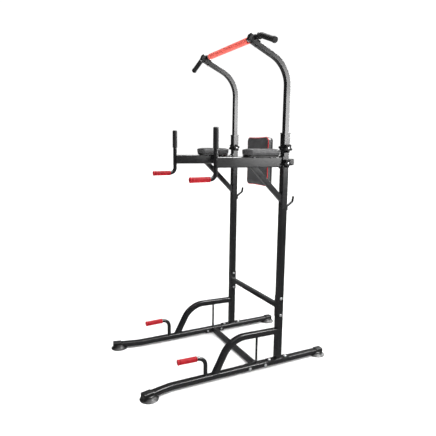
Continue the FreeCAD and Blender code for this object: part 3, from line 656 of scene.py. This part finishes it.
def cushion(name, place, half, thick, seam, corner, base_inset, crown, pinch, cap, voxel=0.005):
    """Sewn pad in its own axes u, v, w: flat back at w 0, side strip up to the seam, crowned face above."""
    inset = min(half) - 0.004
    rings = []

    def ring(shrink, w, pull=pinch):
        loop = outline(half[0] - shrink, half[1] - shrink, corner - shrink * 0.8, pull)
        rings.append([Vector((u, v, w)) for u, v in loop])

    ring(base_inset + 0.006, 0.0)
    ring(base_inset, 0.0008)
    ring(base_inset * 0.55, seam * 0.22)
    ring(base_inset * 0.20, seam * 0.52)
    ring(0.0006, seam * 0.82)
    ring(0.0, seam)
    for k in range(1, 9):
        x = k / 8
        ring(0.001 + inset * x ** 1.5, seam + 0.0012 + crown * 0.75 * (1 - (1 - x) ** 2.4), pinch * (1 - x))
    block = Shape()
    block.skin(rings)
    rough = block.object(name + "_form")
    face_outwards(rough.data, triangulate=True)
    remesh = rough.modifiers.new("remesh", "REMESH")
    remesh.mode, remesh.voxel_size, remesh.adaptivity = "VOXEL", voxel, 0.0
    mesh = bpy.data.meshes.new_from_object(rough.evaluated_get(bpy.context.evaluated_depsgraph_get()))
    bpy.data.objects.remove(rough)
    pad = bpy.data.objects.new(name, mesh)
    bpy.context.collection.objects.link(pad)
    held = [v.index for v in mesh.vertices
            if v.co.z < 0.0030 or (abs(v.co.z - seam) < 0.0032 and near_rim(v.co, half, corner))]
    inflate(pad, held, cap)
    top = max(v.co.z for v in mesh.vertices)
    rise = (thick - seam) / (top - seam)
    rim_width, pucker, pucker_height = 0.016, 0.0005, 0.014
    for v in mesh.vertices:
        if v.co.z > seam:
            v.co.z = seam + (v.co.z - seam) * rise
        if near_rim(v.co, half, corner, rim_width) and v.co.z > seam * 0.25:
            fall = max(0.0, 1 - abs(v.co.z - seam) / pucker_height)
            uneven = 1 + lumpy((v.co.x, v.co.y, v.co.z), 110, half[0] * 90)
            v.co += Vector((v.co.x, v.co.y, 0)).normalized() * (-pucker * fall * uneven)
        v.co.z = max(v.co.z, 0.0)
    tree = BVHTree.FromPolygons([v.co for v in mesh.vertices], [p.vertices for p in mesh.polygons])
    for v in mesh.vertices:
        v.co = place(v.co)
    mesh.update()
    face_outwards(mesh)
    smooth = pad.modifiers.new("smooth", "SUBSURF")
    smooth.levels = smooth.render_levels = 1
    return pad, tree


def near_rim(point, half, corner, reach=0.0045):
    """True if a point is close to the cushion's outline, seen from the face."""
    du, dv = abs(point.x) - half[0] + corner, abs(point.y) - half[1] + corner
    return corner - math.hypot(max(du, 0), max(dv, 0)) - min(max(du, dv), 0) < reach


def on_cover(tree, point, lift):
    """Place on a cushion's cover nearest to a point, and a little above it."""
    spot, normal, _, _ = tree.find_nearest(point)
    return spot + normal * lift, normal


def stitches(shape, tree, place, loop, spacing, lift=0.0003, length=0.0036, closed=True):
    """Row of thread stitches laid on a cover along a loop of points."""
    points = evenly(loop, spacing) if closed else loop
    last = len(points) if closed else len(points) - 1
    for k in range(last):
        a, b = points[k], points[(k + 1) % len(points)]
        run = (b - a).normalized() * length / 2
        middle = (a + b) / 2
        ends = [on_cover(tree, middle + run * s, lift)[0] for s in (-1, -0.6, 0.0, 0.6, 1)]
        sink = on_cover(tree, middle, 0.0)[1] * 0.0006
        ends[0], ends[-1] = ends[0] - sink, ends[-1] - sink
        shape.tube([place(p) for p in ends], lambda i: STITCH[i], sides=6)


def on_face(half, inset, corner, pinch, w):
    """Loop of points at height w over a cushion's back, a little inside its outline."""
    return [Vector((u, v, w)) for u, v in outline(half[0] - inset, half[1] - inset, corner, pinch)]


def wavy(loop):
    """Evenly spaced points of a loop, each a little out of line, as sewn piping is."""
    return [p + Vector((lumpy(p, 60, 2), lumpy(p, 60, 5), lumpy(p, 60, 8))) * 0.0003
            for p in evenly(loop, 0.004)]


def backrest_cushion():
    """Upholstered backrest: crowned face, red piping just behind its edge, stitching on both sides of it."""
    low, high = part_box("backrest_pad")
    half = ((high.x - low.x) / 2 - 0.002, (high.z - low.z) / 2 - 0.002)
    thick, seam, corner = high.y - low.y, 0.0325, 0.026
    centre = ((low.x + high.x) / 2, (low.z + high.z) / 2)

    def place(p):
        return Vector((centre[0] + p.x, high.y - p.z, centre[1] + p.y))

    pad, tree = cushion("backrest_cushion", place, half, thick, seam, corner,
                        base_inset=0.003, crown=0.006, pinch=0.0022, cap=0.0075)
    dress(pad, "pad_leather", "backrest", ("backrest_pad",), crease=180)
    pull, piping, behind, spacing = 0.0026, 0.0024, 0.0042, 0.0050
    cord = Shape()
    welt = wavy(on_face(half, 0.0010, corner, pull, seam - behind))
    cord.tube([place(p) for p in welt], piping, closed=True, sides=12)
    cord.piece("backrest_piping", "grip_red", "backrest", material=RED_PIPING, crease=180)
    seams = Shape()
    stitches(seams, tree, place, on_face(half, 0.0075, corner - 0.006, pull, thick), spacing)
    side = [Vector((u * 1.02, v * 1.02, seam - 0.0108)) for u, v in outline(*half, corner, 0.002)]
    stitches(seams, tree, place, side, spacing)
    seams.piece("backrest_stitching", "pad_leather", "backrest", material=THREAD, crease=180)


def elbow_cushion():
    """Elbow pads: bun-shaped side, crowned top, welt and upright corner seams. The right mirrors the left."""
    low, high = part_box("elbow_pad_left")
    half = ((high.x - low.x) / 2 - 0.0008, (high.y - low.y) / 2 - 0.0008)
    thick, seam, corner = high.z - low.z, 0.0300, 0.024
    centre = Vector(((low.x + high.x) / 2, (low.y + high.y) / 2, low.z))

    def place(p):
        return centre + p

    pad, tree = cushion("elbow_cushion_left", place, half, thick, seam, corner,
                        base_inset=0.0035, crown=0.008, pinch=0.0012, cap=0.006, voxel=0.0045)
    twin = pad.copy()
    twin.data = pad.data.copy()
    twin.name = "elbow_cushion_right"
    bpy.context.collection.objects.link(twin)
    for v in twin.data.vertices:
        v.co.x = -v.co.x
    twin.data.flip_normals()
    cord, seams = Shape(), Shape()
    welt, corner_seam, seam_foot, seam_height, beside_seam = 0.0019, 0.0011, 0.004, 0.0225, 0.0032
    loop = wavy(on_face(half, 0.0012, corner, 0.0016, seam))
    cord.tube([place(p) for p in loop], welt, closed=True, sides=12)
    stitches(seams, tree, place, on_face(half, 0.008, corner - 0.006, 0.002, thick), 0.0048)
    for su, sv in CORNERS:
        spot = Vector((su * (half[0] - 0.004), sv * (half[1] - corner * 0.9), 0))
        line = [spot + Vector((0, 0, seam_foot + seam_height * k / 9)) for k in range(10)]
        ridge = [on_cover(tree, p, 0.0001)[0] for p in line]
        cord.tube([place(p) for p in ridge], corner_seam, sides=8)
        for shift in (-beside_seam, beside_seam):
            beside = [p + Vector((0, shift, 0)) for p in line]
            stitches(seams, tree, place, beside, 0.0, closed=False, length=0.0018)
    for obj, (side, sign) in zip((pad, twin), PAIR):
        dress(obj, "pad_leather", "base_frame", ("elbow_pad" + side,), crease=180)
        cord.sided(sign).piece("elbow_welt" + side, "pad_leather", "base_frame", crease=180)
        seams.sided(sign).piece("elbow_stitching" + side, "pad_leather", "base_frame",
                                material=THREAD, crease=180)


# ---------------------------------------------------------------- small metal parts

def knob_inserts():
    """Pressed steel cap in the hub of each star knob."""
    for joint in frame["record"]["behaviour"]["joints"]:
        if joint["type"] != "hinge":
            continue
        node = joint["child"].removesuffix("_body")
        axis, spot = Vector(joint["axis"]), Vector(joint["pos_m"])
        low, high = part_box(node)
        face = max(low.dot(axis), high.dot(axis))
        hub = spot + axis * (face - spot.dot(axis))
        shape = Shape()
        shape.lathe(hub, axis, [(-0.0015, 0.0062), (-0.0006, 0.0062), (0.0000, 0.0057), (0.0004, 0.0044),
                                (0.0006, 0.0030), (-0.0006, 0.0026), (-0.0008, 0.0004)], 40)
        shape.piece(node + "_cap", "zinc_steel", joint["child"], crease=30)


def islands(node):
    """Boxes of the separate solids in one CAD node, as (lowest corner, highest corner)."""
    mesh = nodes[node].data
    edit = bmesh.new()
    edit.from_mesh(mesh)
    bmesh.ops.remove_doubles(edit, verts=edit.verts, dist=1e-6)
    left, boxes = set(edit.verts), []
    while left:
        stack, seen = [next(iter(left))], set()
        while stack:
            v = stack.pop()
            if v in seen:
                continue
            seen.add(v)
            stack.extend(e.other_vert(v) for e in v.link_edges)
        left -= seen
        corners = [[f(v.co[i] for v in seen) for i in range(3)] for f in (min, max)]
        boxes.append(tuple(Vector(c) for c in corners))
    edit.free()
    return sorted(boxes, key=lambda b: tuple(round(c, 4) for c in b[0]))


def washers():
    """Washers under bolt heads outside the frame and on the foot plates; domed heads under the elbow pads."""
    head, long_bolt, shape = 0.0055, 0.03, Shape()
    profile = [(-0.0002, 0.0060), (-0.0002, 0.0094), (0.0012, 0.0094), (0.0015, 0.0090), (0.0015, 0.0060)]
    dome = [(-0.0010, 0.0074), (0.0002, 0.0074), (0.0016, 0.0064), (0.0026, 0.0040), (0.0029, 0.0004)]
    for node in ("base_bolts", "upright_bolts", "foot_plate_bolts"):
        for low, high in islands(node):
            size, middle = high - low, (low + high) / 2
            if node == "foot_plate_bolts":
                shape.lathe((middle.x, middle.y, high.z - head), (0, 0, 1), profile, 32)
            elif size.x > long_bolt:
                out = 1 if middle.x > 0 else -1
                edge = high.x if out > 0 else low.x
                shape.lathe((edge - out * head, middle.y, middle.z), (out, 0, 0), profile, 32)
    for low, high in islands("pad_screws"):
        middle = (low + high) / 2
        shape.lathe((middle.x, middle.y, low.z + 0.0012), (0, 0, -1), dome, 32)
    shape.piece("frame_washers", "zinc_steel", "base_frame", crease=30)


def bead(shape, loop, size=0.0021, closed=True):
    """Weld bead along a joint, with the ripples of its pool."""
    points = evenly(loop, 0.0021) if closed else loop
    shape.tube(points, lambda i: size * (1 + 0.15 * math.cos(2.2 * i)), closed, 8)


def straight(start, end, step=0.0021):
    start, end = Vector(start), Vector(end)
    count = max(2, round((end - start).length / step))
    return [start.lerp(end, k / count) for k in range(count + 1)]


def welds():
    """Weld beads where tubes meet: the frame's left half, its mirror image, and two in the middle."""
    X, Y, Z = Vector((1, 0, 0)), Vector((0, 1, 0)), Vector((0, 0, 1))
    rod_bead, hook_bead, dip_bead = 0.0015, 0.0013, 0.0017
    bracket, arm_round = 0.005, 0.005
    hook_half, hook_tall = 0.009, 0.019
    slide_half, slide_round = 0.0129, 0.002
    low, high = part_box("upright_left")
    post_x, post_y = (low.x + high.x) / 2, (low.y + high.y) / 2
    front = post_y - POST
    beads = Shape()
    bead(beads, rounded_loop((post_x, post_y, low.z + PLATE), X, Y, POST, POST, ROUND))

    low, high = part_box("push_up_handle_left")
    bead(beads, rounded_loop((high.x - TUBE, high.y - TUBE, low.z), X, Y, TUBE, TUBE, TUBE))

    low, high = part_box("curved_brace_left")
    x = (low.x + high.x) / 2
    bead(beads, rounded_loop((x, low.y + BRACE_CUT, low.z), X, Y, BRACE, BRACE_CUT, ROUND))
    bead(beads, rounded_loop((x, front, BRACE_END_Z), X, Z, BRACE, BRACE, ROUND))
    for z in (low.z, BRACE_END_Z - 0.0150):
        bead(beads, rounded_loop((x, post_y - ROD_AHEAD, z), X, Y, ROD, ROD, ROD), rod_bead)

    low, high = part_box("arm_brace_left")
    x = (low.x + high.x) / 2
    upper, lower = ARM_BRACE_CUTS
    bead(beads, rounded_loop((x, low.y + upper, high.z), X, Y, BOX, upper, SMALL_ROUND))
    bead(beads, rounded_loop((x, front, low.z + lower), X, Z, BOX, lower, SMALL_ROUND))

    low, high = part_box("arm_left")
    z = (low.z + high.z) / 2
    bead(beads, rounded_loop((post_x, front - bracket, z), X, Z, BOX, ARM, arm_round))
    low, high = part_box("dip_handle_left")
    dip_x, dip_y = (low.x + high.x) / 2, high.y - TUBE
    for side in (-1, 1):
        x, y = dip_x + side * 0.0121, dip_y + 0.0040
        bead(beads, straight((x, y, z - ARM), (x, y, z + ARM)), dip_bead, False)
        arc = [Vector((dip_x + TUBE * math.cos(a), dip_y + TUBE * math.sin(a), z + side * ARM))
               for a in (math.radians(18 + 8 * k) for k in range(19))]
        bead(beads, arc, dip_bead, False)

    low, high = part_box("floor_cross_tube")
    bead(beads, rounded_loop((high.x - PLATE, post_y - FLOOR_CROSS_AHEAD, high.z - BOX), Y, Z,
                             BOX, BOX, SMALL_ROUND))
    low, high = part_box("upright_cross_tube")
    bead(beads, rounded_loop((high.x - PLATE, post_y, (low.z + high.z) / 2), Y, Z, BOX, 0.014, SMALL_ROUND))
    low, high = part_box("hook_left")
    bead(beads, rounded_loop(((low.x + high.x) / 2, low.y + 0.0004, low.z + hook_tall), X, Z,
                             hook_half, hook_tall, SMALL_ROUND), hook_bead)

    beads.join(beads.mirrored())
    bead(beads, rounded_loop((0, post_y + BACK_CROSS_BEHIND, BACKREST_Z), X, Z, BOX, BOX, slide_round))
    beads.piece("frame_welds", "frame_black", "base_frame", crease=60)

    low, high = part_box("backrest_slide_tube")
    plate = Shape()
    bead(plate, rounded_loop((0, low.y + PLATE, BACKREST_Z), X, Z, slide_half, slide_half, slide_round))
    plate.piece("backrest_welds", "frame_black", "backrest", crease=60)


for side, sign in PAIR:
    red_grip("dip_front_grip" + side, sign)
    red_grip("push_up_grip" + side, sign)
    dip_foam("dip_grip" + side, sign)
    side_grip_sleeve("side_grip" + side, sign)
bar_foam()
backrest_cushion()
elbow_cushion()
knob_inserts()
washers()
welds()


# ---------------------------------------------------------------- floor, light, camera

def make_floor():
    """Pale floor with a slight glow, so that it comes out white. Reflections don't show it."""
    bpy.ops.mesh.primitive_plane_add(size=60, location=(0, 0, 0))
    floor = bpy.context.object
    floor.name = "floor"
    g = Graph("pale_floor", Specular_IOR_Level=0.0)
    tone = g.blend(g.noise(0.8, 3.0), (0.90, 0.90, 0.90), (0.92, 0.92, 0.92))
    g.shader.inputs["Emission Color"].default_value = (1, 1, 1, 1)
    g.shader.inputs["Emission Strength"].default_value = FLOOR_GLOW
    floor.data.materials.append(g.finish(tone, g.fit(g.noise(3, 3.0), 0.3, 0.7, 0.85, 0.95)))
    floor.visible_glossy = False


def make_world():
    """White backdrop. The light that it gives is strongest behind the object on its right, and low down."""
    world = bpy.data.worlds.new("studio")
    bpy.context.scene.world = world
    world.use_nodes = True
    tree = world.node_tree
    tree.nodes.clear()

    def add(kind):
        return tree.nodes.new("ShaderNode" + kind)

    out, mix = add("OutputWorld"), add("MixShader")
    seen, lit = add("Background"), add("Background")
    seen.inputs["Color"].default_value = (1, 1, 1, 1)
    seen.inputs["Strength"].default_value = SEEN_WHITE
    coords, dot, ramp = add("TexCoord"), add("VectorMath"), add("MapRange")
    dot.operation = "DOT_PRODUCT"
    dot.inputs[1].default_value = Vector(WORLD_BRIGHT).normalized()
    tree.links.new(coords.outputs["Generated"], dot.inputs[0])
    tree.links.new(dot.outputs["Value"], ramp.inputs["Value"])
    ramp.interpolation_type = "SMOOTHSTEP"
    ramp.inputs["From Min"].default_value = WORLD_FROM[0]
    ramp.inputs["From Max"].default_value = WORLD_FROM[1]
    ramp.inputs["To Min"].default_value = WORLD_TO[0]
    ramp.inputs["To Max"].default_value = WORLD_TO[1]
    split, low, total = add("SeparateXYZ"), add("MapRange"), add("Math")
    tree.links.new(coords.outputs["Generated"], split.inputs[0])
    tree.links.new(split.outputs["Z"], low.inputs["Value"])
    low.inputs["From Min"].default_value = 0.0
    low.inputs["From Max"].default_value = -0.5
    low.inputs["To Min"].default_value = 0.0
    low.inputs["To Max"].default_value = WORLD_LOW
    tree.links.new(ramp.outputs["Result"], total.inputs[0])
    tree.links.new(low.outputs["Result"], total.inputs[1])
    tree.links.new(total.outputs["Value"], lit.inputs["Strength"])
    tree.links.new(add("LightPath").outputs["Is Camera Ray"], mix.inputs["Fac"])
    tree.links.new(lit.outputs["Background"], mix.inputs[1])
    tree.links.new(seen.outputs["Background"], mix.inputs[2])
    tree.links.new(mix.outputs["Shader"], out.inputs["Surface"])


def add_lamp(name, kind, place, target, energy):
    data = bpy.data.lights.new(name, kind)
    data.energy = energy
    lamp = bpy.data.objects.new(name, data)
    bpy.context.collection.objects.link(lamp)
    lamp.location = place
    lamp.rotation_mode = "QUATERNION"
    lamp.rotation_quaternion = (Vector(target) - Vector(place)).to_track_quat("-Z", "Y")
    return lamp


def area_light(name, place, target, size, power):
    lamp = add_lamp(name, "AREA", place, target, power)
    lamp.data.shape = "RECTANGLE"
    lamp.data.size, lamp.data.size_y = size
    return lamp


def make_camera():
    """Camera 1.4 m up, to the left of the object and a little in front of it, looking slightly down."""
    azimuth, pitch, roll = (math.radians(v) for v in (AZIMUTH, PITCH, ROLL))
    level = Vector((math.cos(azimuth), math.sin(azimuth), 0))
    ahead = Vector((-math.sin(azimuth), math.cos(azimuth), 0))
    forward = ahead * math.cos(pitch) - Vector((0, 0, math.sin(pitch)))
    upright = level.cross(forward)
    right = level * math.cos(roll) + upright * math.sin(roll)
    up = upright * math.cos(roll) - level * math.sin(roll)
    data = bpy.data.cameras.new("camera")
    data.sensor_width, data.lens = SENSOR_MM, LENS_MM
    camera = bpy.data.objects.new("camera", data)
    bpy.context.collection.objects.link(camera)
    turn = Matrix((right, up, -forward)).transposed().to_4x4()
    camera.matrix_world = Matrix.Translation(CAMERA_PLACE) @ turn
    bpy.context.scene.camera = camera


make_floor()
make_world()
area_light("softbox", (2.95, 2.1, 1.83), (0.0, 0.25, 1.71), (1.05, 1.08), 54)
for name, place, size, power in GLINTS:
    area_light(name, place, GLINT_TARGET, size, power).visible_diffuse = False
add_lamp("daylight", "SUN", (0, 0, 5), (0, 0, 0), 4.3).data.angle = math.radians(60)
bpy.context.scene.view_settings.view_transform = "Standard"
make_camera()
